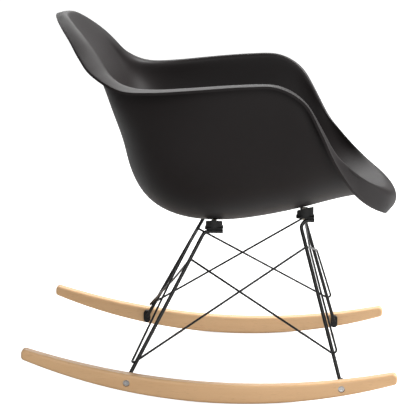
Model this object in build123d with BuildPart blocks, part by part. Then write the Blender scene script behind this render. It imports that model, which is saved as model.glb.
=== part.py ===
"""Rocking armchair: a moulded bucket seat on a braced rod frame, on two wood rockers.

Millimetres. +X is the front of the chair, +Y is the sitter's left, +Z is up. The origin is on the
floor at the middle of the chair's box.
"""

from build123d import *
from math import cos, radians, sin, sqrt
import os

os.makedirs("parts", exist_ok=True)

# ---------------------------------------------------------------- rockers
ROCKER_LENGTH = 680.0  # tip to tip
ROCKER_HEIGHT = 35.0  # at the middle
ROCKER_WIDTH = 24.0
ROCKER_SPACING = 522.0  # centre to centre
ROCKER_SOLE_RADIUS = 1030.0  # the curve that rolls on the floor
ROCKER_TOP_RADIUS = 1370.0
ROCKER_PITCH = 3.34  # degrees that the rockers are rolled forward at rest
ROCKER_MIDDLE_X = -5.0
ROCKER_TIP_ROUNDING = 7.0
ROCKER_EDGE_ROUNDING = 5.0

# ---------------------------------------------------------------- bucket seat
SEAT_WIDTH = 572.0  # over the crests of the arms
SEAT_DEPTH = 630.0  # back crest to front of the seat
SEAT_HEIGHT = 388.0  # underside to back crest
SEAT_UNDERSIDE = 298.0  # above the floor
SEAT_BACK_X = -285.0
SEAT_WALL = 5.0
RIM_FLANGE = 21.0  # how far the rim rolls outward past the crest
RIM_DROP = 5.0
RIM_ROLL = 9.0  # radius of the roll

# ---------------------------------------------------------------- rod frame
LEG_DIAMETER = 7.0
LEG_BEND = 14.0  # inside of the bend under the seat
WIRE_DIAMETER = 4.0
WIRE_BEND = 25.0
WIRE_STEP = 2.6  # how far each of two crossing wires stands to its own side
WIRE_LEAN = 1.5  # how far a wire's upper end stands off its leg's middle, to pass its neighbour
WIRE_SADDLE = 150.0  # the slow bend of one wire over another where they cross
LOOP_BEND = 6.0  # the tight turn round a leg
WELD_GAP = 0.3  # between round rods that are welded side by side
LOOP_PITCHES = 1.45  # corner of a loop from the leg's middle, in rod pitches along X and along Y
KINK_PITCHES = 1.1
REAR_FOOT_X = -150.0
FRONT_FOOT_X = 238.0
REAR_SHOULDER_X = -14.0  # where the leg bends under the seat
FRONT_SHOULDER_X = 161.0
REAR_LOOP_Z = 62.0  # height at which a bracing wire turns round the leg
FRONT_LOOP_Z = 78.0
REAR_NODE_Z = 242.0  # height at which bracing wires end on the leg
FRONT_NODE_Z = 266.0
FRONT_KINK_Z = 194.0  # where a front wire leaves its own leg

# ---------------------------------------------------------------- seat mounts
MOUNT_SPACING = 236.0  # left to right
REAR_MOUNT_X = 3.0
FRONT_MOUNT_X = 172.0
MOUNT_DIAMETER = 31.0
REAR_MOUNT_HEIGHT = 10.0
FRONT_MOUNT_HEIGHT = 13.0
PLATE_LENGTH = 34.0
PLATE_WIDTH = 32.0
PLATE_THICKNESS = 3.0
INSERT_DIAMETER = 10.0
INSERT_DEPTH = 2.5  # how far an insert reaches into the seat's wall
SEAT_BOLT_DIAMETER = 6.0
SEAT_BOLT_HEAD = 10.0  # across flats
SEAT_BOLT_HEAD_HEIGHT = 4.0
SEAT_WASHER_DIAMETER = 14.0
WASHER_THICKNESS = 1.2

# ---------------------------------------------------------------- feet
LUG_WIDTH = 14.0
LUG_HEIGHT = 26.0
LUG_THICKNESS = 10.0
THREAD_DEPTH = 6.0  # how far a rocker's bolt is screwed into the lug
ROCKER_BOLT_DIAMETER = 6.0
ROCKER_BOLT_HEAD = 9.0
ROCKER_BOLT_HEAD_HEIGHT = 3.5
SOCKET_ACROSS_FLATS = 4.0
SOCKET_DEPTH = 2.2
RECESS_DIAMETER = 12.6
RECESS_DEPTH = 5.5
FIT_CLEARANCE = 0.2  # round a bolt in its hole, on the radius

# ---------------------------------------------------------------- derived
LEG_RADIUS = LEG_DIAMETER / 2
WIRE_RADIUS = WIRE_DIAMETER / 2
ROD_PITCH = LEG_RADIUS + WIRE_RADIUS + WELD_GAP
ROCKER_Y = ROCKER_SPACING / 2
ROCKER_INNER_Y = ROCKER_Y - ROCKER_WIDTH / 2
MOUNT_Y = MOUNT_SPACING / 2
FOOT_Y = ROCKER_INNER_Y - LUG_THICKNESS

RIGHT = -1
LEFT = 1
SIDES = {"right": RIGHT, "left": LEFT}


def finish(builder, name):
    """Label a finished piece and write it."""
    builder.part.label = name
    export_step(builder.part, f"parts/{name}.step")


# ---------------------------------------------------------------- rockers
pitch = radians(ROCKER_PITCH)
sole_centre_x = ROCKER_MIDDLE_X + ROCKER_SOLE_RADIUS * sin(pitch)
rocker_middle_z = ROCKER_SOLE_RADIUS * (1 - cos(pitch))
top_centre_x = ROCKER_MIDDLE_X + (ROCKER_HEIGHT + ROCKER_TOP_RADIUS) * sin(pitch)
top_centre_z = rocker_middle_z + (ROCKER_HEIGHT + ROCKER_TOP_RADIUS) * cos(pitch)


def rocker_middle(x):
    """Height of the middle of a rocker's side face at x."""
    sole = ROCKER_SOLE_RADIUS - sqrt(ROCKER_SOLE_RADIUS**2 - (x - sole_centre_x) ** 2)
    top = top_centre_z - sqrt(ROCKER_TOP_RADIUS**2 - (x - top_centre_x) ** 2)
    return (sole + top) / 2


def arc_height(radius, across):
    """Rise of an arc above its lowest point."""
    return radius - sqrt(radius**2 - across**2)


def make_rocker(name, side):
    """One rocker: two arcs closed by rounded tips, with stepped bolt holes."""
    half = ROCKER_LENGTH / 2
    sole_tip = arc_height(ROCKER_SOLE_RADIUS, half)
    top_tip = ROCKER_HEIGHT + arc_height(ROCKER_TOP_RADIUS, half)
    side_plane = Plane(
        origin=(ROCKER_MIDDLE_X, side * ROCKER_Y, rocker_middle_z),
        x_dir=(cos(pitch), 0, -sin(pitch)),
        z_dir=(0, -1, 0),
    )
    with BuildPart() as rocker:
        with BuildSketch(side_plane) as outline:
            with BuildLine():
                ThreePointArc((-half, sole_tip), (0, 0), (half, sole_tip))
                Line((half, sole_tip), (half, top_tip))
                ThreePointArc((half, top_tip), (0, ROCKER_HEIGHT), (-half, top_tip))
                Line((-half, top_tip), (-half, sole_tip))
            make_face()
            fillet(outline.vertices(), ROCKER_TIP_ROUNDING)
        extrude(amount=ROCKER_WIDTH / 2, both=True)
        rims = rocker.faces().filter_by(Axis.Y).edges()
        fillet(rims, ROCKER_EDGE_ROUNDING)
        for x in (REAR_FOOT_X, FRONT_FOOT_X):
            outer_face = Plane(
                origin=(x, side * (ROCKER_Y + ROCKER_WIDTH / 2), rocker_middle(x)),
                x_dir=(1, 0, 0),
                z_dir=(0, side, 0),
            )
            with Locations(outer_face):
                CounterBoreHole(ROCKER_BOLT_DIAMETER / 2 + FIT_CLEARANCE, RECESS_DIAMETER / 2, RECESS_DEPTH)
    finish(rocker, name)
    return rocker


for side_name, side in SIDES.items():
    make_rocker(f"{side_name}_rocker", side)


# ---------------------------------------------------------------- bucket seat
class Station:
    """One slice of the bucket: where it meets the middle line and the crest, and how wide it is.

    The middle and crest points are shares of the seat's depth and height, the width is a share of
    its half width. The slice lies in the plane through both points, square to the sides.
    """

    def __init__(self, middle, crest, width, squareness, flange=1.0, drop=1.0, wall=1.0):
        self.middle = self.place(middle)
        self.crest = self.place(crest)
        self.half_width = width * SEAT_WIDTH / 2
        self.squareness = squareness
        self.flange = flange * RIM_FLANGE
        self.drop = drop * RIM_DROP
        self.wall = wall * SEAT_WALL

    @staticmethod
    def place(share):
        """A point of the seat's side view, from shares of its depth and height."""
        return Vector(SEAT_BACK_X + share[0] * SEAT_DEPTH, 0, SEAT_UNDERSIDE + share[1] * SEAT_HEIGHT)

    @property
    def plane(self):
        """The slice's own plane: x across the seat, y from the middle line to the crest."""
        rise = (self.crest - self.middle).normalized()
        across = Vector(0, 1, 0)
        return Plane(origin=self.middle, x_dir=across, z_dir=across.cross(rise))

    def inner_points(self):
        """The inside of the slice, from one rim to the other."""
        height = (self.crest - self.middle).length
        roll = min(RIM_ROLL, height / 3)
        wall_width = self.half_width - roll
        wall_height = height - roll
        half = []
        for angle in (0, 18, 36, 52, 66, 79, 90):
            turn = radians(angle)
            across = wall_width * sin(turn) ** (2 / self.squareness)
            up = wall_height * (1 - max(cos(turn), 0) ** (2 / self.squareness))
            half.append((across, up))
        half.append((self.half_width - 0.3 * roll, height - 0.3 * roll))
        half.append((self.half_width + 0.35 * self.flange, height - 0.05 * self.drop))
        half.append((self.half_width + self.flange, height - self.drop))
        other = [(-across, up) for across, up in reversed(half[1:])]
        return other + half

    def outer_points(self):
        """The outside of the slice: the inside moved out by the wall's thickness."""
        inner = [Vector(*point) for point in self.inner_points()]
        outer = []
        for index, point in enumerate(inner):
            before = inner[max(index - 1, 0)]
            after = inner[min(index + 1, len(inner) - 1)]
            along = (after - before).normalized()
            outer.append(point + Vector(along.Y, -along.X) * self.wall)
        return outer


STATIONS = [
    Station((0.000, 1.000), (0.086, 0.872), 0.56, 2.0, flange=0.5, drop=0.0),
    Station((0.036, 0.930), (0.120, 0.838), 0.62, 2.0, flange=1.0, drop=1.0),
    Station((0.076, 0.820), (0.152, 0.788), 0.68, 2.1, flange=1.3, drop=2.0),
    Station((0.116, 0.690), (0.192, 0.738), 0.76, 2.2, flange=1.4, drop=2.2),
    Station((0.152, 0.550), (0.240, 0.712), 0.83, 2.4, flange=1.25, drop=1.6),
    Station((0.184, 0.400), (0.300, 0.704), 0.89, 2.5, flange=1.1, drop=1.2),
    Station((0.212, 0.230), (0.378, 0.708), 0.945, 2.6),
    Station((0.262, 0.092), (0.460, 0.720), 0.985, 2.7),
    Station((0.360, 0.022), (0.540, 0.730), 1.00, 2.7),
    Station((0.480, 0.010), (0.605, 0.737), 1.00, 2.7),
    Station((0.600, 0.032), (0.665, 0.730), 1.00, 2.7),
    Station((0.730, 0.080), (0.722, 0.675), 0.99, 2.7),
    Station((0.840, 0.128), (0.768, 0.555), 0.96, 2.6),
    Station((0.915, 0.148), (0.814, 0.400), 0.90, 2.5),
    Station((0.965, 0.143), (0.868, 0.278), 0.81, 2.3, flange=0.7, drop=0.7, wall=1.3),
    Station((0.995, 0.118), (0.925, 0.195), 0.71, 2.1, flange=0.3, drop=0.3, wall=1.7),
]

with BuildPart() as seat_shell:
    for station in STATIONS:
        inner = station.inner_points()
        outer = station.outer_points()
        with BuildSketch(station.plane):
            with BuildLine():
                Spline(*inner)
                Line(inner[-1], outer[-1])
                Spline(*reversed(outer))
                Line(outer[0], inner[0])
            make_face()
    loft()



def underside(x, y):
    """Height of the seat's underside above a point of the floor."""
    probe = Axis((x, y, 0), (0, 0, 1))
    return min(point.Z for point, normal in seat_shell.part.find_intersection_points(probe))


# ---------------------------------------------------------------- where the frame runs
class Corner:
    """One corner of the frame: its seat mount above and the leg that goes down to a rocker."""

    def __init__(self, name, mount_x, mount_height, shoulder_x, foot_x):
        self.name = name
        self.mount_x = mount_x
        self.mount_top = underside(mount_x, MOUNT_Y)
        self.plate_top = self.mount_top - mount_height
        self.plate_bottom = self.plate_top - PLATE_THICKNESS
        self.rod_z = self.plate_bottom - LEG_RADIUS - WELD_GAP / 3
        self.rod_y = MOUNT_Y + PLATE_WIDTH / 2 - LEG_RADIUS
        self.shoulder = Vector(shoulder_x, self.rod_y, self.rod_z)
        self.foot = Vector(foot_x, FOOT_Y, rocker_middle(foot_x))
        self.rod_end_x = mount_x + PLATE_LENGTH / 2

    def leg_at(self, z, side):
        """The point of the leg's straight run at a height, on one side of the chair."""
        share = (z - self.foot.Z) / (self.shoulder.Z - self.foot.Z)
        point = self.foot + (self.shoulder - self.foot) * share
        return Vector(point.X, side * point.Y, point.Z)


REAR = Corner("rear", REAR_MOUNT_X, REAR_MOUNT_HEIGHT, REAR_SHOULDER_X, REAR_FOOT_X)
FRONT = Corner("front", FRONT_MOUNT_X, FRONT_MOUNT_HEIGHT, FRONT_SHOULDER_X, FRONT_FOOT_X)
CORNERS = (REAR, FRONT)


def disc_plane(x, y, z):
    """A level plane with its origin on a mount's axis."""
    return Plane(origin=(x, y, z), x_dir=(1, 0, 0), z_dir=(0, 0, 1))


# ---------------------------------------------------------------- threaded inserts
insert_tops = {corner.name: corner.mount_top + INSERT_DEPTH for corner in CORNERS}

with BuildPart() as threaded_inserts:
    for corner in CORNERS:
        for side in (RIGHT, LEFT):
            length = insert_tops[corner.name] - corner.plate_top
            with BuildSketch(disc_plane(corner.mount_x, side * MOUNT_Y, corner.plate_top)):
                Circle(INSERT_DIAMETER / 2)
                Circle(SEAT_BOLT_DIAMETER / 2 + FIT_CLEARANCE, mode=Mode.SUBTRACT)
            extrude(amount=length)
finish(threaded_inserts, "threaded_inserts")

with seat_shell:
    for corner in CORNERS:
        for side in (RIGHT, LEFT):
            with BuildSketch(disc_plane(corner.mount_x, side * MOUNT_Y, corner.plate_top)):
                Circle(INSERT_DIAMETER / 2)
            extrude(amount=insert_tops[corner.name] - corner.plate_top, mode=Mode.SUBTRACT)
finish(seat_shell, "seat_shell")


# ---------------------------------------------------------------- rubber mounts and their plates
def make_mount(name, corner, side):
    """A round rubber block that fills the space from its plate to the seat's underside."""
    with BuildPart() as mount:
        with BuildSketch(disc_plane(corner.mount_x, side * MOUNT_Y, corner.plate_top)):
            Circle(MOUNT_DIAMETER / 2)
            Circle(INSERT_DIAMETER / 2, mode=Mode.SUBTRACT)
        extrude(amount=corner.mount_top - corner.plate_top + MOUNT_DIAMETER / 2)
        add(seat_shell.part, mode=Mode.SUBTRACT)
        block = mount.solids().sort_by(Axis.Z)[0]
        add(block, mode=Mode.REPLACE)
    finish(mount, name)


def make_plate(name, corner, side):
    """A steel plate with rounded corners that a mount stands on and a leg is welded under."""
    with BuildPart() as plate:
        with BuildSketch(disc_plane(corner.mount_x, side * MOUNT_Y, corner.plate_bottom)):
            RectangleRounded(PLATE_LENGTH, PLATE_WIDTH, LEG_DIAMETER)
            Circle(SEAT_BOLT_DIAMETER / 2 + FIT_CLEARANCE, mode=Mode.SUBTRACT)
        extrude(amount=PLATE_THICKNESS)
    finish(plate, name)


# ---------------------------------------------------------------- legs and their feet
def make_leg(name, corner, side):
    """A rod from the foot up to the shoulder, then level under its mount plate."""
    foot = corner.leg_at(corner.foot.Z, side)
    shoulder = corner.leg_at(corner.shoulder.Z, side)
    end = Vector(corner.rod_end_x, shoulder.Y, shoulder.Z)
    with BuildPart() as leg:
        with BuildLine() as route:
            FilletPolyline(foot, shoulder, end, radius=LEG_BEND)
        with BuildSketch(Plane(origin=foot, z_dir=shoulder - foot)):
            Circle(LEG_RADIUS)
        sweep(path=route.wire())
    finish(leg, name)
    return leg


def make_lug(name, corner, side, leg):
    """A rounded steel block between the leg's foot and the rocker, tapped for the rocker's bolt."""
    face = Plane(
        origin=(corner.foot.X, side * ROCKER_INNER_Y, corner.foot.Z),
        x_dir=(1, 0, 0),
        z_dir=(0, -side, 0),
    )
    with BuildPart() as lug:
        with BuildSketch(face) as outline:
            SlotOverall(LUG_HEIGHT, LUG_WIDTH, rotation=90)
        extrude(amount=LUG_THICKNESS)
        inner = lug.faces().sort_by(Axis.Y)[0 if side == LEFT else -1]
        fillet(inner.edges(), LUG_THICKNESS / 4)
        with Locations(Plane(origin=face.origin, x_dir=(1, 0, 0), z_dir=(0, side, 0))):
            Hole(ROCKER_BOLT_DIAMETER / 2, depth=THREAD_DEPTH)
        add(leg.part, mode=Mode.SUBTRACT)
        block = lug.solids().sort_by(SortBy.VOLUME)[-1]
        add(block, mode=Mode.REPLACE)
    finish(lug, name)


legs = {}
for side_name, side in SIDES.items():
    for corner in CORNERS:
        make_mount(f"{side_name}_{corner.name}_rubber_mount", corner, side)
        make_plate(f"{side_name}_{corner.name}_mount_plate", corner, side)
        legs[corner.name, side] = make_leg(f"{side_name}_{corner.name}_leg", corner, side)
        make_lug(f"{side_name}_{corner.name}_foot_lug", corner, side, legs[corner.name, side])


# ---------------------------------------------------------------- bracing wires
def beside_leg(corner, z, side, fore, out):
    """A point beside a leg: fore and out count the offset forward and outward in rod pitches."""
    return corner.leg_at(z, side) + Vector(fore * ROD_PITCH, side * out * ROD_PITCH, 0)


def crossing(start, end, side):
    """Where a cross wire passes the chair's middle, stepped aside from its twin."""
    share = start.Y / (start.Y - end.Y)
    step = Vector(side * WIRE_STEP, 0, 0)
    return start + (end - start) * share + step


def make_wire(name, route, bends, end_legs):
    """A bracing wire along straight runs with rounded bends, its ends coped to two legs."""
    with BuildPart() as wire:
        with BuildLine() as path:
            FilletPolyline(*route, radius=bends)
        with BuildSketch(Plane(origin=route[0], z_dir=route[1] - route[0])):
            Circle(WIRE_RADIUS)
        sweep(path=path.wire())
        for end_leg in end_legs:
            add(end_leg.part, mode=Mode.SUBTRACT)
        run = wire.solids().sort_by(SortBy.VOLUME)[-1]
        add(run, mode=Mode.REPLACE)
    finish(wire, name)


for side_name, side in SIDES.items():
    lean = Vector(0, side * WIRE_LEAN, 0)
    rear_loop = beside_leg(REAR, REAR_LOOP_Z, side, fore=-LOOP_PITCHES, out=LOOP_PITCHES)
    rear_end = REAR.leg_at(REAR_NODE_Z, -side)
    rear_route = [
        FRONT.leg_at(FRONT_NODE_Z, side) + lean,
        rear_loop,
        crossing(rear_loop, rear_end, side),
        rear_end,
    ]
    rear_legs = [legs["front", side], legs["rear", -side]]
    make_wire(f"{side_name}_rear_brace_wire", rear_route, [LOOP_BEND, WIRE_SADDLE], rear_legs)

    front_loop = beside_leg(FRONT, FRONT_LOOP_Z, side, fore=LOOP_PITCHES, out=LOOP_PITCHES)
    front_kink = beside_leg(FRONT, FRONT_KINK_Z, side, fore=KINK_PITCHES, out=0)
    front_end = FRONT.leg_at(FRONT_NODE_Z, -side)
    front_route = [
        REAR.leg_at(REAR_NODE_Z, side) - lean,
        front_loop,
        front_kink,
        crossing(front_kink, front_end, side),
        front_end,
    ]
    front_legs = [legs["rear", side], legs["front", -side]]
    make_wire(f"{side_name}_front_brace_wire", front_route, [LOOP_BEND, WIRE_BEND, WIRE_SADDLE], front_legs)


# ---------------------------------------------------------------- seat bolts
with BuildPart() as seat_washers:
    for corner in CORNERS:
        for side in (RIGHT, LEFT):
            washer_z = corner.plate_bottom - WASHER_THICKNESS
            with BuildSketch(disc_plane(corner.mount_x, side * MOUNT_Y, washer_z)):
                Circle(SEAT_WASHER_DIAMETER / 2)
                Circle(SEAT_BOLT_DIAMETER / 2 + FIT_CLEARANCE, mode=Mode.SUBTRACT)
            extrude(amount=WASHER_THICKNESS)
finish(seat_washers, "seat_washers")

with BuildPart() as seat_bolts:
    for corner in CORNERS:
        for side in (RIGHT, LEFT):
            head_z = corner.plate_bottom - WASHER_THICKNESS - SEAT_BOLT_HEAD_HEIGHT
            with BuildSketch(disc_plane(corner.mount_x, side * MOUNT_Y, head_z)):
                RegularPolygon(SEAT_BOLT_HEAD / 2, 6, major_radius=False)
            extrude(amount=SEAT_BOLT_HEAD_HEIGHT)
            with BuildSketch(disc_plane(corner.mount_x, side * MOUNT_Y, head_z)):
                Circle(SEAT_BOLT_DIAMETER / 2)
            extrude(amount=insert_tops[corner.name] - FIT_CLEARANCE - head_z)
finish(seat_bolts, "seat_bolts")


# ---------------------------------------------------------------- rocker bolts
def recess_floor(corner, side):
    """The floor of a bolt's recess in a rocker's outer face, looking outward."""
    depth = ROCKER_Y + ROCKER_WIDTH / 2 - RECESS_DEPTH
    return Plane(origin=(corner.foot.X, side * depth, corner.foot.Z), x_dir=(1, 0, 0), z_dir=(0, side, 0))


with BuildPart() as rocker_washers:
    for corner in CORNERS:
        for side in (RIGHT, LEFT):
            with BuildSketch(recess_floor(corner, side)):
                Circle(RECESS_DIAMETER / 2 - FIT_CLEARANCE)
                Circle(ROCKER_BOLT_DIAMETER / 2 + FIT_CLEARANCE, mode=Mode.SUBTRACT)
            extrude(amount=WASHER_THICKNESS)
finish(rocker_washers, "rocker_washers")

with BuildPart() as rocker_bolts:
    for corner in CORNERS:
        for side in (RIGHT, LEFT):
            seat = recess_floor(corner, side).offset(WASHER_THICKNESS)
            shank = ROCKER_WIDTH - RECESS_DEPTH + WASHER_THICKNESS + THREAD_DEPTH
            with BuildSketch(seat):
                Circle(ROCKER_BOLT_HEAD / 2)
            extrude(amount=ROCKER_BOLT_HEAD_HEIGHT)
            with BuildSketch(seat):
                Circle(ROCKER_BOLT_DIAMETER / 2)
            extrude(amount=-shank)
            with BuildSketch(seat.offset(ROCKER_BOLT_HEAD_HEIGHT)):
                RegularPolygon(SOCKET_ACROSS_FLATS / 2, 6, major_radius=False)
            extrude(amount=-SOCKET_DEPTH, mode=Mode.SUBTRACT)
finish(rocker_bolts, "rocker_bolts")
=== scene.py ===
"""Looks of a rocking armchair: a moulded bucket seat on a braced rod frame and two wood rockers.

Metres. +X is the front of the chair, +Y is the sitter's left and +Z is up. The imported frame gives
every place; this script builds the seat's smooth skin and dresses every piece.
"""

import logging
import math
from dataclasses import dataclass
from enum import Enum

import bmesh
import bpy
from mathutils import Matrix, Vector


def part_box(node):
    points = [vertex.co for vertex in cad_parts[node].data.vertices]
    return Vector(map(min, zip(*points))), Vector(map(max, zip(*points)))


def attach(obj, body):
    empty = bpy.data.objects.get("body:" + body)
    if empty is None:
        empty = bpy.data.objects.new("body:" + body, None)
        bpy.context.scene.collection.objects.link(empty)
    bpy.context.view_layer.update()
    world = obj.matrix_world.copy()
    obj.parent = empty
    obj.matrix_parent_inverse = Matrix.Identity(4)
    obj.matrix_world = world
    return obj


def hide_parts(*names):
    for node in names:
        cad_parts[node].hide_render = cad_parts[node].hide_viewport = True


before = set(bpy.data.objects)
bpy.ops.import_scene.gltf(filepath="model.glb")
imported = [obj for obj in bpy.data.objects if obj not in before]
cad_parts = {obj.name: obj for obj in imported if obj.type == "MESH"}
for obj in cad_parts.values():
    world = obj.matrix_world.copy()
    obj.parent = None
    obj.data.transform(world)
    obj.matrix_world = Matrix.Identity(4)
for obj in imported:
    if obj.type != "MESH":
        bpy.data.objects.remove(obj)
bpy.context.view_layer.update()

LOG = logging.getLogger("rocking_chair")

MIX_FACTOR = 0  # sockets of a colour mix node
MIX_A = 6
MIX_B = 7
MIX_RESULT = 2
SMOOTH_STEP = 0.5  # how far smoothing moves a vertex towards the middle of its neighbours
MIDDLE_PULL = 0.5  # how strongly the edge loop's start keeps to the chair's middle


# ---------------------------------------------------------------- shared helpers
def catmull(values: list[float], position: float) -> float:
    """Read a smooth curve through evenly spaced values.

    Args:
        values: The curve's values at 0, 1, 2 and so on.
        position: Where to read it, from 0 to the last index.

    Returns:
        The curve's value there.
    """
    last = len(values) - 1
    index = min(int(position), last - 1)
    t = position - index
    before = values[max(index - 1, 0)]
    start = values[index]
    end = values[index + 1]
    after = values[min(index + 2, last)]
    slope_start = (end - before) / (2 if index > 0 else 1)
    slope_end = (after - start) / (2 if index + 2 <= last else 1)
    rise = (2 * t**3 - 3 * t**2 + 1) * start + (-2 * t**3 + 3 * t**2) * end
    return rise + (t**3 - 2 * t**2 + t) * slope_start + (t**3 - t**2) * slope_end


def along_line(points: list[Vector], share: float) -> Vector:
    """Read a polyline at a share of its length.

    Args:
        points: The polyline's points.
        share: From 0 at its start to 1 at its end.

    Returns:
        The point there.
    """
    steps = [(after - before).length for before, after in zip(points, points[1:])]
    target = sum(steps) * share
    for index, step in enumerate(steps):
        if target <= step or index == len(steps) - 1:
            return points[index].lerp(points[index + 1], min(target / max(step, 1e-9), 1.0))
        target -= step
    return points[-1]


def bezier(points: tuple[Vector, Vector, Vector, Vector], share: float) -> Vector:
    """A point of a cubic curve through its first and last points."""
    rest = 1.0 - share
    start, first, second, end = points
    middle = first * (3.0 * rest**2 * share) + second * (3.0 * rest * share**2)
    return start * rest**3 + middle + end * share**3


def new_object(name: str, mesh_data: bmesh.types.BMesh) -> bpy.types.Object:
    """Turn a bmesh into a smooth-shaded object at the origin."""
    mesh = bpy.data.meshes.new(name)
    mesh_data.to_mesh(mesh)
    mesh_data.free()
    for polygon in mesh.polygons:
        polygon.use_smooth = True
    piece = bpy.data.objects.new(name, mesh)
    bpy.context.scene.collection.objects.link(piece)
    return piece


# ---------------------------------------------------------------- node building
class Graph:
    """A short way to lay out and join shader nodes in one tree."""

    def __init__(self, tree: bpy.types.NodeTree) -> None:
        """Wrap a node tree."""
        self.tree = tree

    def add(self, kind: str, **settings: object) -> bpy.types.Node:
        """Add a node and set its properties or, by socket name, its inputs."""
        node = self.tree.nodes.new(kind)
        for name, value in settings.items():
            socket = name.replace("_", " ").title()
            if hasattr(node, name):
                setattr(node, name, value)
            else:
                node.inputs[socket].default_value = value
        return node

    def join(self, source: bpy.types.NodeSocket, target: bpy.types.NodeSocket) -> None:
        """Join an output to an input."""
        self.tree.links.new(source, target)


def new_material(name: str) -> tuple[bpy.types.Material, Graph, bpy.types.Node]:
    """Make a material and return it with its graph and its surface shader."""
    material = bpy.data.materials.new(name)
    material.use_nodes = True
    return material, Graph(material.node_tree), material.node_tree.nodes["Principled BSDF"]


def surface_group() -> bpy.types.NodeTree:
    """Build the group that gives fine moulded or sprayed texture: a mask and a bump height."""
    group = bpy.data.node_groups.new("fine_texture", "ShaderNodeTree")
    for name, default in (("Scale", 900.0), ("Cloud Scale", 9.0)):
        socket = group.interface.new_socket(name, in_out="INPUT", socket_type="NodeSocketFloat")
        socket.default_value = default
    group.interface.new_socket("Coordinates", in_out="INPUT", socket_type="NodeSocketVector")
    group.interface.new_socket("Height", in_out="OUTPUT", socket_type="NodeSocketFloat")
    group.interface.new_socket("Clouds", in_out="OUTPUT", socket_type="NodeSocketFloat")
    graph = Graph(group)
    inside = graph.add("NodeGroupInput")
    outside = graph.add("NodeGroupOutput")
    grain = graph.add("ShaderNodeTexNoise", detail=2.0, roughness=0.6)
    clouds = graph.add("ShaderNodeTexNoise", detail=3.0, roughness=0.5)
    graph.join(inside.outputs["Coordinates"], grain.inputs["Vector"])
    graph.join(inside.outputs["Coordinates"], clouds.inputs["Vector"])
    graph.join(inside.outputs["Scale"], grain.inputs["Scale"])
    graph.join(inside.outputs["Cloud Scale"], clouds.inputs["Scale"])
    graph.join(grain.outputs["Fac"], outside.inputs["Height"])
    graph.join(clouds.outputs["Fac"], outside.inputs["Clouds"])
    return group


@dataclass(frozen=True)
class MouldedFinish:
    """Paint, plastic, rubber or plated metal: two near colours and a fine texture."""

    name: str
    dark: tuple[float, float, float]
    light: tuple[float, float, float]
    roughness: float
    roughness_spread: float
    texture_scale: float
    bump: float
    metallic: float = 0.0
    specular: float = 0.5
    coat: float = 0.0
    coat_roughness: float = 0.25
    bump_distance: float = 0.0002

    def build(self, texture: bpy.types.NodeTree) -> bpy.types.Material:
        """Make the material.

        Args:
            texture: The shared fine texture group.

        Returns:
            The finished material.
        """
        material, graph, shader = new_material(self.name)
        shader.inputs["Metallic"].default_value = self.metallic
        shader.inputs["Specular IOR Level"].default_value = self.specular
        shader.inputs["Coat Weight"].default_value = self.coat
        shader.inputs["Coat Roughness"].default_value = self.coat_roughness
        place = graph.add("ShaderNodeTexCoord")
        fine = graph.add("ShaderNodeGroup", node_tree=texture)
        fine.inputs["Scale"].default_value = self.texture_scale
        graph.join(place.outputs["Object"], fine.inputs["Coordinates"])
        colour = graph.add("ShaderNodeMix", data_type="RGBA")
        colour.inputs[MIX_A].default_value = (*self.dark, 1.0)
        colour.inputs[MIX_B].default_value = (*self.light, 1.0)
        graph.join(fine.outputs["Clouds"], colour.inputs[MIX_FACTOR])
        graph.join(colour.outputs[MIX_RESULT], shader.inputs["Base Color"])
        rough = graph.add("ShaderNodeMapRange")
        rough.inputs["To Min"].default_value = self.roughness - self.roughness_spread
        rough.inputs["To Max"].default_value = self.roughness + self.roughness_spread
        graph.join(fine.outputs["Height"], rough.inputs["Value"])
        graph.join(rough.outputs["Result"], shader.inputs["Roughness"])
        bump = graph.add("ShaderNodeBump", strength=self.bump, distance=self.bump_distance)
        graph.join(fine.outputs["Height"], bump.inputs["Height"])
        graph.join(bump.outputs["Normal"], shader.inputs["Normal"])
        return material


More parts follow.
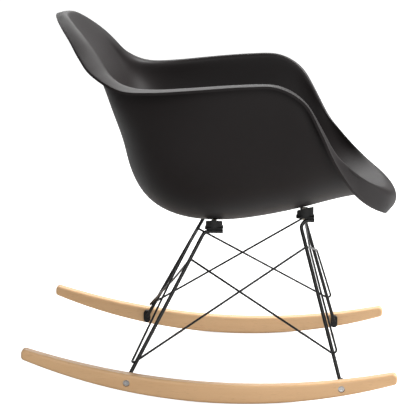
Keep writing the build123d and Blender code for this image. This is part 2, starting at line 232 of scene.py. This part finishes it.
@dataclass(frozen=True)
class BeechFinish:
    """Pale straight-grained beech under a satin lacquer, its grain along the rocker."""

    name: str = "beech"
    pale: tuple[float, float, float] = (0.88, 0.575, 0.31)
    warm: tuple[float, float, float] = (0.76, 0.445, 0.215)
    fleck: tuple[float, float, float] = (0.47, 0.25, 0.12)
    roughness: float = 0.42
    smoother: float = 0.08  # how far the streaks take the roughness down
    rougher: float = 0.1  # and up
    coat: float = 0.15
    coat_roughness: float = 0.3
    fleck_start: float = 0.62  # noise level where a fleck starts to show
    fleck_full: float = 0.80
    fleck_strength: float = 0.45
    bump: float = 0.12
    bump_distance: float = 0.0003
    streak_stretch: tuple[float, float, float] = (2.2, 60.0, 60.0)
    fleck_stretch: tuple[float, float, float] = (60.0, 700.0, 700.0)

    def build(self) -> bpy.types.Material:
        """Make the material."""
        material, graph, shader = new_material(self.name)
        shader.inputs["Coat Weight"].default_value = self.coat
        shader.inputs["Coat Roughness"].default_value = self.coat_roughness
        place = graph.add("ShaderNodeTexCoord")
        streaks = self.stretched_noise(graph, place, self.streak_stretch, detail=4.0)
        flecks = self.stretched_noise(graph, place, self.fleck_stretch, detail=1.0)
        base = graph.add("ShaderNodeMix", data_type="RGBA")
        base.inputs[MIX_A].default_value = (*self.pale, 1.0)
        base.inputs[MIX_B].default_value = (*self.warm, 1.0)
        graph.join(streaks, base.inputs[MIX_FACTOR])
        fleck_mask = graph.add("ShaderNodeMapRange")
        fleck_mask.inputs["From Min"].default_value = self.fleck_start
        fleck_mask.inputs["From Max"].default_value = self.fleck_full
        fleck_mask.inputs["To Max"].default_value = self.fleck_strength
        graph.join(flecks, fleck_mask.inputs["Value"])
        colour = graph.add("ShaderNodeMix", data_type="RGBA")
        colour.inputs[MIX_B].default_value = (*self.fleck, 1.0)
        graph.join(fleck_mask.outputs["Result"], colour.inputs[MIX_FACTOR])
        graph.join(base.outputs[MIX_RESULT], colour.inputs[MIX_A])
        graph.join(colour.outputs[MIX_RESULT], shader.inputs["Base Color"])
        rough = graph.add("ShaderNodeMapRange")
        rough.inputs["To Min"].default_value = self.roughness - self.smoother
        rough.inputs["To Max"].default_value = self.roughness + self.rougher
        graph.join(streaks, rough.inputs["Value"])
        graph.join(rough.outputs["Result"], shader.inputs["Roughness"])
        bump = graph.add("ShaderNodeBump", strength=self.bump, distance=self.bump_distance)
        graph.join(flecks, bump.inputs["Height"])
        graph.join(bump.outputs["Normal"], shader.inputs["Normal"])
        return material

    @staticmethod
    def stretched_noise(
        graph: Graph, place: bpy.types.Node, stretch: tuple[float, float, float], detail: float
    ) -> bpy.types.NodeSocket:
        """Noise drawn out along the grain.

        Args:
            graph: The material's graph.
            place: Its texture coordinate node.
            stretch: How often the noise repeats along X, Y and Z.
            detail: The noise's detail.

        Returns:
            The noise's value socket.
        """
        mapping = graph.add("ShaderNodeMapping")
        mapping.inputs["Scale"].default_value = stretch
        noise = graph.add("ShaderNodeTexNoise", detail=detail, roughness=0.55, distortion=0.4)
        noise.inputs["Scale"].default_value = 1.0
        graph.join(place.outputs["Object"], mapping.inputs["Vector"])
        graph.join(mapping.outputs["Vector"], noise.inputs["Vector"])
        return noise.outputs["Fac"]


class Finish(Enum):
    """The chair's finishes."""

    SEAT = MouldedFinish(
        "seat_plastic",
        (0.0105, 0.0080, 0.0080),
        (0.0135, 0.0105, 0.0105),
        0.50,
        0.05,
        1400.0,
        0.25,
        specular=0.22,
    )
    STEEL = MouldedFinish(
        "black_steel",
        (0.003, 0.003, 0.003),
        (0.006, 0.006, 0.006),
        0.32,
        0.06,
        1800.0,
        0.12,
        specular=0.35,
    )
    RUBBER = MouldedFinish(
        "mount_rubber", (0.004, 0.004, 0.004), (0.008, 0.008, 0.008), 0.65, 0.05, 1500.0, 0.3
    )
    ZINC = MouldedFinish(
        "zinc", (0.62, 0.55, 0.43), (0.74, 0.68, 0.56), 0.38, 0.06, 900.0, 0.15, metallic=1.0
    )
    BRIGHT = MouldedFinish(
        "bright_steel", (0.55, 0.54, 0.53), (0.72, 0.71, 0.70), 0.3, 0.06, 1200.0, 0.1, metallic=1.0
    )
    BEECH = BeechFinish()


class Paintbox:
    """Builds each finish once and puts it on pieces."""

    def __init__(self) -> None:
        """Start with the shared texture and no materials."""
        self.texture = surface_group()
        self.built: dict[Finish, bpy.types.Material] = {}

    def material(self, finish: Finish) -> bpy.types.Material:
        """Return a finish's material, built when it is first asked for."""
        if finish not in self.built:
            if isinstance(finish.value, MouldedFinish):
                self.built[finish] = finish.value.build(self.texture)
            else:
                self.built[finish] = finish.value.build()
        return self.built[finish]

    def dress(self, piece: bpy.types.Object, finish: Finish) -> None:
        """Give a piece one finish all over."""
        piece.data.materials.clear()
        piece.data.materials.append(self.material(finish))


# ---------------------------------------------------------------- bucket seat
@dataclass(frozen=True)
class Station:
    """One slice of the seat, as shares of the seat's box.

    middle and crest are (forward, up) shares of the slice's lowest point and of its upper end.
    width is a share of the half width, squareness is how boxy the slice is, and sweep is how far
    its side turns up, in degrees.
    """

    middle: tuple[float, float]
    crest: tuple[float, float]
    width: float
    squareness: float
    sweep: float = 90.0


@dataclass(frozen=True)
class RimPoint:
    """One place on the rim's outer edge, on the left half.

    edge is its (forward, side, up) shares of the seat's box, turn the degrees that the rim rolls
    round to reach it, and facing the way that the seat's outside looks there.
    """

    edge: tuple[float, float, float]
    turn: float
    facing: tuple[float, float, float]


@dataclass
class BucketSeat:
    """The one-piece moulded seat: a skin through slices, with its rim rolled outward all round.

    The skin's corners are rounded, so its edge is one smooth loop: over the back's top, down
    the shoulders, along the arms and round the front of the seat.
    """

    # A fitting script gave the upper ends and widths of slices 0 to 5 and 11 to 14. The middles of
    # slices 1 to 5 and the last three slices were set after the fit.
    stations: tuple[Station, ...] = (
        Station((0.023, 0.981), (0.023, 1.100), 0.375, 2.0),
        Station((0.064, 0.874), (0.089, 0.934), 0.413, 2.0),
        Station((0.112, 0.762), (0.125, 0.814), 0.480, 2.1),
        Station((0.146, 0.640), (0.160, 0.725), 0.589, 2.2),
        Station((0.170, 0.523), (0.207, 0.679), 0.717, 2.4),
        Station((0.196, 0.390), (0.286, 0.669), 0.809, 2.5),
        Station((0.216, 0.248), (0.373, 0.682), 0.863, 2.6),
        Station((0.265, 0.115), (0.454, 0.696), 0.889, 2.7),
        Station((0.356, 0.036), (0.533, 0.705), 0.899, 2.7),
        Station((0.479, 0.018), (0.600, 0.710), 0.902, 2.7),
        Station((0.602, 0.044), (0.658, 0.699), 0.902, 2.7),
        Station((0.716, 0.087), (0.710, 0.639), 0.901, 2.7),
        Station((0.814, 0.128), (0.754, 0.525), 0.880, 2.5, 86.0),
        Station((0.892, 0.152), (0.803, 0.396), 0.832, 2.4, 74.0),
        Station((0.956, 0.172), (0.868, 0.296), 0.690, 2.2, 60.0),
    )
    # Evenly along the edge, from the middle of the back's top to the middle of the seat's front. A
    # script spaced and smoothed these rows; the last three edges were set by hand after it.
    rim: tuple[RimPoint, ...] = (
        RimPoint((-0.016, 0.000, 0.984), 84.0, (-0.91, 0.00, -0.41)),
        RimPoint((-0.007, 0.190, 0.973), 84.0, (-0.91, 0.14, -0.39)),
        RimPoint((0.018, 0.385, 0.943), 84.0, (-0.89, 0.28, -0.36)),
        RimPoint((0.053, 0.559, 0.889), 84.0, (-0.81, 0.50, -0.31)),
        RimPoint((0.084, 0.682, 0.827), 84.0, (-0.70, 0.68, -0.22)),
        RimPoint((0.124, 0.783, 0.757), 87.0, (-0.59, 0.80, -0.12)),
        RimPoint((0.203, 0.887, 0.692), 90.0, (-0.48, 0.87, -0.02)),
        RimPoint((0.290, 0.946, 0.687), 93.0, (-0.37, 0.93, 0.02)),
        RimPoint((0.381, 0.973, 0.697), 97.0, (-0.26, 0.96, 0.04)),
        RimPoint((0.472, 0.986, 0.709), 99.0, (-0.16, 0.99, 0.03)),
        RimPoint((0.555, 0.989, 0.718), 100.0, (-0.08, 1.00, 0.03)),
        RimPoint((0.641, 0.986, 0.715), 100.0, (-0.04, 1.00, 0.01)),
        RimPoint((0.716, 0.978, 0.645), 100.0, (0.00, 1.00, 0.00)),
        RimPoint((0.760, 0.965, 0.519), 102.0, (0.08, 1.00, 0.00)),
        RimPoint((0.797, 0.915, 0.385), 105.0, (0.18, 0.98, -0.02)),
        RimPoint((0.835, 0.823, 0.276), 112.0, (0.32, 0.95, -0.07)),
        RimPoint((0.873, 0.683, 0.187), 123.0, (0.44, 0.87, -0.24)),
        RimPoint((0.915, 0.522, 0.116), 136.0, (0.51, 0.73, -0.46)),
        RimPoint((0.950, 0.357, 0.068), 148.0, (0.37, 0.48, -0.79)),
        RimPoint((0.966, 0.182, 0.048), 157.0, (0.16, 0.24, -0.96)),
        RimPoint((0.970, 0.000, 0.043), 165.0, (-0.08, 0.00, -1.00)),
    )
    wall: float = 0.0048
    edge_width: float = 0.0016
    edge_segments: int = 3
    edge_angle: float = 50.0  # degrees; edges sharper than this are rounded
    along: int = 100  # faces from the back's top to the seat's front
    across: int = 90  # faces from arm to arm
    rim_rows: int = 12
    slice_steps: int = 40
    edge_smoothing: int = 12
    skin_smoothing: int = 10
    out_smoothing: int = 60
    rim_smoothing: int = 6
    back_corner: float = 2.6  # how many slices the rounded corners take
    back_squareness: float = 2.3
    back_reach: float = 0.5
    front_corner: float = 0.9
    front_squareness: float = 2.2
    front_reach: float = 0.4

    def __post_init__(self) -> None:
        """Read the seat's box once."""
        low, high = (Vector(corner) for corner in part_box("seat_shell"))
        self.corner = Vector((low.x, 0.0, low.z))
        self.size = Vector((high.x - low.x, high.y, high.z - low.z))

    def place(self, share: tuple[float, float]) -> Vector:
        """A point of the seat's side view from its box shares."""
        return self.corner + self.size * Vector((share[0], 0.0, share[1]))

    def read(self, name: str, position: float, part: int | None = None) -> float:
        """Read one of the stations' values between stations."""
        values = [getattr(station, name) for station in self.stations]
        if part is not None:
            values = [value[part] for value in values]
        return catmull(values, position)

    def slice_line(self, position: float) -> list[Vector]:
        """The left half of one slice, from the middle up to its end.

        Args:
            position: The slice's place among the stations.

        Returns:
            Points along the slice.
        """
        middle = self.place((self.read("middle", position, 0), self.read("middle", position, 1)))
        crest = self.place((self.read("crest", position, 0), self.read("crest", position, 1)))
        rise = crest - middle
        height = rise.length
        rise.normalize()
        half = self.size.y * self.read("width", position)
        power = 2.0 / self.read("squareness", position)
        sweep = math.radians(self.read("sweep", position))
        across = half / math.sin(sweep) ** power
        up = height / (1.0 - max(math.cos(sweep), 0.0) ** power)
        line = []
        for step in range(self.slice_steps + 1):
            angle = sweep * step / self.slice_steps
            lift = rise * up * (1.0 - max(math.cos(angle), 0.0) ** power)
            line.append(middle + lift + Vector((0.0, across * math.sin(angle) ** power, 0.0)))
        return line

    def grid_place(self, row: float, column: float) -> tuple[float, float]:
        """Where a grid point lies on the slices, with the grid's corners rounded off.

        Args:
            row: From 0 at the back's top to 1 at the seat's front.
            column: From 0 at the middle to 1 at the side.

        Returns:
            Position among the stations, and share of the slice's half length.
        """
        quarter = math.pi / 2 * column
        back = (1.0 - min(row / self.back_reach, 1.0)) ** 2
        front = (1.0 - min((1.0 - row) / self.front_reach, 1.0)) ** 2
        bend = max(math.cos(quarter), 0.0)
        back_drop = self.back_corner * (1.0 - bend ** (2.0 / self.back_squareness))
        front_drop = self.front_corner * (1.0 - bend ** (2.0 / self.front_squareness))
        position = (len(self.stations) - 1) * row + back * back_drop - front * front_drop
        back_share = math.sin(quarter) ** (2.0 / self.back_squareness)
        front_share = math.sin(quarter) ** (2.0 / self.front_squareness)
        share = column * (1.0 - back - front) + back * back_share + front * front_share
        return position, share

    def skin_point(self, row: float, column: float) -> Vector:
        """A point of the skin; column runs from -1 at the right side to 1 at the left."""
        position, share = self.grid_place(row, abs(column))
        point = along_line(self.slice_line(position), share)
        return Vector((point.x, math.copysign(point.y, column), point.z))

    def build(self) -> bpy.types.Object:
        """Build the seat's skin, roll its rim, and give it its wall.

        Returns:
            The seat.
        """
        skin = bmesh.new()
        bmesh.ops.create_grid(skin, x_segments=self.along, y_segments=self.across, size=0.5)
        for vert in skin.verts:
            vert.co = self.skin_point(vert.co.x + 0.5, 2.0 * vert.co.y)
        bmesh.ops.recalc_face_normals(skin, faces=skin.faces)
        self.even_out(skin)
        self.face_inward(skin)
        self.roll_rim(skin)
        seat = new_object("seat", skin)
        wall = seat.modifiers.new("wall", "SOLIDIFY")
        wall.thickness = self.wall
        wall.offset = -1.0
        edge = seat.modifiers.new("edge", "BEVEL")
        edge.width = self.edge_width
        edge.segments = self.edge_segments
        edge.limit_method = "ANGLE"
        edge.angle_limit = math.radians(self.edge_angle)
        return seat

    def even_out(self, skin: bmesh.types.BMesh) -> None:
        """Take small waves out of the skin's edge and then out of the skin inside it."""
        loop = self.edge_loop(skin)
        count = len(loop)
        for _ in range(self.edge_smoothing):
            places = [vert.co.copy() for vert in loop]
            for index, vert in enumerate(loop):
                ends = places[index - 1] + places[(index + 1) % count]
                vert.co = places[index].lerp(ends / 2.0, SMOOTH_STEP)
        inner = [vert for vert in skin.verts if not vert.is_boundary]
        self.smooth(skin, inner, self.skin_smoothing)

    @staticmethod
    def smooth(skin: bmesh.types.BMesh, verts: list[bmesh.types.BMVert], times: int) -> None:
        """Move vertices towards the middle of their neighbours, several times over."""
        for _ in range(times):
            bmesh.ops.smooth_vert(
                skin,
                verts=verts,
                factor=SMOOTH_STEP,
                use_axis_x=True,
                use_axis_y=True,
                use_axis_z=True,
            )

    @staticmethod
    def face_inward(skin: bmesh.types.BMesh) -> None:
        """Turn the skin's faces to look at the sitter."""
        skin.normal_update()
        lowest = min(skin.faces, key=lambda face: face.calc_center_median().z)
        if lowest.normal.z < 0:
            bmesh.ops.reverse_faces(skin, faces=skin.faces)
        skin.normal_update()

    @staticmethod
    def edge_loop(skin: bmesh.types.BMesh) -> list[bmesh.types.BMVert]:
        """The skin's edge as one closed loop of vertices, from the middle of the back's top."""
        rim = [vert for vert in skin.verts if vert.is_boundary]
        start = max(rim, key=lambda vert: vert.co.z - abs(vert.co.y) * MIDDLE_PULL)
        loop = [start]
        before = None
        while True:
            here = loop[-1]
            ahead = [edge.other_vert(here) for edge in here.link_edges if edge.is_boundary]
            ahead = [vert for vert in ahead if vert is not before]
            if before is None:
                ahead.sort(key=lambda vert: vert.co.y)
            if ahead[0] is start:
                return loop
            before = here
            loop.append(ahead[0])

    def rim_point(self, share: float, side: float) -> tuple[Vector, float, Vector]:
        """Read the rim's table at a share of the way from the back to the front.

        Args:
            share: From 0 at the middle of the back's top to 1 at the middle of the seat's front.
            side: Above 0 on the left half and below 0 on the right half.

        Returns:
            The edge's place, the rim's turn in radians, and the way that the outside looks.
        """
        place = share * (len(self.rim) - 1) + 1.0
        edge = Vector([catmull(self.mirrored("edge", axis), place) for axis in range(3)])
        facing = Vector([catmull(self.mirrored("facing", axis), place) for axis in range(3)])
        mirror = Vector((1.0, math.copysign(1.0, side), 1.0))
        turns = [point.turn for point in self.rim]
        turn = math.radians(catmull([turns[1], *turns, turns[-2]], place))
        return self.corner + edge * self.size * mirror, turn, (facing * mirror).normalized()

    def mirrored(self, name: str, axis: int) -> list[float]:
        """One axis of the rim's table, run on past both middles as on the other half."""
        values = [getattr(point, name)[axis] for point in self.rim]
        sign = -1.0 if axis == 1 else 1.0
        return [sign * values[1], *values, sign * values[-2]]

    @staticmethod
    def edge_way(loop: list[bmesh.types.BMVert], index: int) -> Vector:
        """The way that the skin's edge runs at one vertex of its loop."""
        return (loop[(index + 1) % len(loop)].co - loop[index - 1].co).normalized()

    def outward_ways(self, loop: list[bmesh.types.BMVert]) -> list[Vector]:
        """The way that the skin points at each vertex of its edge, square to the edge."""
        outs = []
        for index, vert in enumerate(loop):
            along = self.edge_way(loop, index)
            faces = [face.calc_center_median() for face in vert.link_faces]
            out = vert.co - sum(faces, Vector()) / len(faces)
            outs.append((out - along * out.dot(along)).normalized())
        for _ in range(self.out_smoothing):
            outs = self.smoothed(outs)
        return outs

    def rim_curves(
        self, loop: list[bmesh.types.BMVert]
    ) -> dict[bmesh.types.BMVert, tuple[Vector, Vector, Vector, Vector]]:
        """Lay a curve from each vertex of the skin's edge to the rim's edge.

        Args:
            loop: The skin's edge.

        Returns:
            Each vertex's curve, as the four points that bezier reads.
        """
        count = len(loop)
        reach = [0.0]
        for index in range(count):
            reach.append(reach[-1] + (loop[(index + 1) % count].co - loop[index].co).length)
        outs = self.outward_ways(loop)
        curves = {}
        for index, vert in enumerate(loop):
            share = 2.0 * min(reach[index], reach[-1] - reach[index]) / reach[-1]
            edge, turn, facing = self.rim_point(share, vert.co.y)
            along = self.edge_way(loop, index)
            down = (facing - along * facing.dot(along)).normalized()
            flat = down.cross(along)
            # the handle's length that draws an arc of this turn over this distance
            arm = (edge - vert.co).length * 4.0 * math.tan(turn / 4.0) / (6.0 * math.sin(turn / 2.0))
            finish = flat * math.cos(turn) + down * math.sin(turn)
            curves[vert] = (vert.co.copy(), vert.co + outs[index] * arm, edge - finish * arm, edge)
        return curves

    def roll_rim(self, skin: bmesh.types.BMesh) -> None:
        """Extrude the skin's edge row by row over the rim's roll.

        Args:
            skin: The open skin.
        """
        curves = self.rim_curves(self.edge_loop(skin))
        edges = [edge for edge in skin.edges if edge.is_boundary]
        ring = {vert: vert for vert in curves}
        for row in range(1, self.rim_rows + 1):
            made = bmesh.ops.extrude_edge_only(skin, edges=edges)["geom"]
            edges = [item for item in made if isinstance(item, bmesh.types.BMEdge)]
            edges = [edge for edge in edges if edge.is_boundary]
            fresh = {item for item in made if isinstance(item, bmesh.types.BMVert)}
            following = {}
            for vert in fresh:
                others = [edge.other_vert(vert) for edge in vert.link_edges]
                base = ring[next(other for other in others if other not in fresh)]
                following[vert] = base
                vert.co = bezier(curves[base], row / self.rim_rows)
            ring = following
        lip = set(ring)
        inner = [vert for vert in skin.verts if vert not in lip]
        self.smooth(skin, inner, self.rim_smoothing)
        bmesh.ops.recalc_face_normals(skin, faces=skin.faces)
        self.face_inward(skin)

    @staticmethod
    def smoothed(directions: list[Vector]) -> list[Vector]:
        """Average each direction of a closed loop with its neighbours."""
        count = len(directions)
        return [
            (directions[i - 1] + 2.0 * directions[i] + directions[(i + 1) % count]).normalized()
            for i in range(count)
        ]


# ---------------------------------------------------------------- dressed frame pieces
@dataclass
class RodFrame:
    """The welded rod frame and what fastens it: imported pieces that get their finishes."""

    sides: tuple[str, ...] = ("right", "left")
    ends: tuple[str, ...] = ("front", "rear")
    steel: tuple[str, ...] = ("leg", "mount_plate", "foot_lug", "brace_wire")

    def dress(self, paints: Paintbox) -> None:
        """Give every piece of the frame its finish."""
        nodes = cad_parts
        for side in self.sides:
            for end in self.ends:
                for part in self.steel:
                    paints.dress(nodes[f"{side}_{end}_{part}"], Finish.STEEL)
                paints.dress(nodes[f"{side}_{end}_rubber_mount"], Finish.RUBBER)
        for name in ("seat_bolts", "seat_washers", "threaded_inserts"):
            paints.dress(nodes[name], Finish.ZINC)
        for name in ("rocker_bolts", "rocker_washers"):
            paints.dress(nodes[name], Finish.BRIGHT)
        LOG.info("dressed the rod frame")


@dataclass
class Rockers:
    """The two wood rockers."""

    names: tuple[str, ...] = ("right_rocker", "left_rocker")

    def dress(self, paints: Paintbox) -> None:
        """Give both rockers their wood."""
        for name in self.names:
            paints.dress(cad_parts[name], Finish.BEECH)
        LOG.info("dressed the rockers")


# ---------------------------------------------------------------- studio
@dataclass
class Studio:
    """A pale floor, soft lights and the camera."""

    eye: tuple[float, float, float] = (0.1309, -3.5055, 0.9466)
    yaw: float = 2.354
    pitch: float = 10.276
    focal: float = 160.63
    sensor: float = 36.0
    floor_size: float = 30.0
    floor_shade: tuple[float, float, float, float] = (0.55, 0.55, 0.55, 1.0)
    floor_roughness: float = 0.9
    floor_glow: float = 0.9  # seen by the camera only
    room_light: float = 0.30
    room_look: float = 1.0  # the room's level as the camera sees it

    def build(self) -> None:
        """Build the whole studio."""
        self.build_floor()
        self.build_world()
        self.add_light("key", (2.3, 0.9, 2.6), (0.0, 0.0, 0.45), 1.6, 190.0)
        self.add_light("back", (-0.2, 2.8, 2.4), (0.0, 0.0, 0.4), 2.0, 45.0)
        self.add_light("side", (0.8, -2.8, 1.4), (0.0, 0.0, 0.1), 1.6, 34.0)
        self.build_camera()

    def build_floor(self) -> None:
        """A plain pale floor at the chair's feet."""
        sheet = bmesh.new()
        bmesh.ops.create_grid(sheet, x_segments=1, y_segments=1, size=self.floor_size / 2)
        floor = new_object("floor", sheet)
        material, graph, shader = new_material("floor_pale")
        shader.inputs["Base Color"].default_value = self.floor_shade
        shader.inputs["Roughness"].default_value = self.floor_roughness
        shader.inputs["Emission Color"].default_value = (1.0, 1.0, 1.0, 1.0)
        rays = graph.add("ShaderNodeLightPath")
        glow = graph.add("ShaderNodeMapRange")
        glow.inputs["To Max"].default_value = self.floor_glow
        graph.join(rays.outputs["Is Camera Ray"], glow.inputs["Value"])
        graph.join(glow.outputs["Result"], shader.inputs["Emission Strength"])
        floor.data.materials.append(material)

    def build_world(self) -> None:
        """An even white room that lights more softly than it looks."""
        world = bpy.data.worlds.new("studio")
        bpy.context.scene.world = world
        world.use_nodes = True
        graph = Graph(world.node_tree)
        back = world.node_tree.nodes["Background"]
        back.inputs["Color"].default_value = (1.0, 1.0, 1.0, 1.0)
        rays = graph.add("ShaderNodeLightPath")
        level = graph.add("ShaderNodeMapRange")
        level.inputs["To Min"].default_value = self.room_light
        level.inputs["To Max"].default_value = self.room_look
        graph.join(rays.outputs["Is Camera Ray"], level.inputs["Value"])
        graph.join(level.outputs["Result"], back.inputs["Strength"])

    @staticmethod
    def add_light(
        name: str,
        place: tuple[float, float, float],
        target: tuple[float, float, float],
        size: float,
        power: float,
    ) -> None:
        """Hang one soft square light.

        Args:
            name: The light's name.
            place: Where it hangs.
            target: What it looks at.
            size: Its side length.
            power: Its power in watts.
        """
        data = bpy.data.lights.new(name, "AREA")
        data.size = size
        data.energy = power
        light = bpy.data.objects.new(name, data)
        light.location = place
        light.rotation_euler = (Vector(target) - Vector(place)).to_track_quat("-Z", "Y").to_euler()
        bpy.context.scene.collection.objects.link(light)

    def build_camera(self) -> None:
        """Place the camera at the right side of the chair, a little above it."""
        data = bpy.data.cameras.new("camera")
        data.lens = self.focal
        data.sensor_width = self.sensor
        camera = bpy.data.objects.new("camera", data)
        camera.location = self.eye
        camera.rotation_euler = (math.radians(90.0 - self.pitch), 0.0, math.radians(self.yaw))
        bpy.context.scene.collection.objects.link(camera)
        bpy.context.scene.camera = camera


def main() -> None:
    """Build the chair's looks in order."""
    logging.basicConfig(level=logging.INFO)
    bpy.context.scene.view_settings.view_transform = "Standard"
    paints = Paintbox()
    Studio().build()
    seat = BucketSeat().build()
    paints.dress(seat, Finish.SEAT)
    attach(seat, "root")
    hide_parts("seat_shell")
    LOG.info("built the seat")
    RodFrame().dress(paints)
    Rockers().dress(paints)


if __name__ == "__main__":
    main()
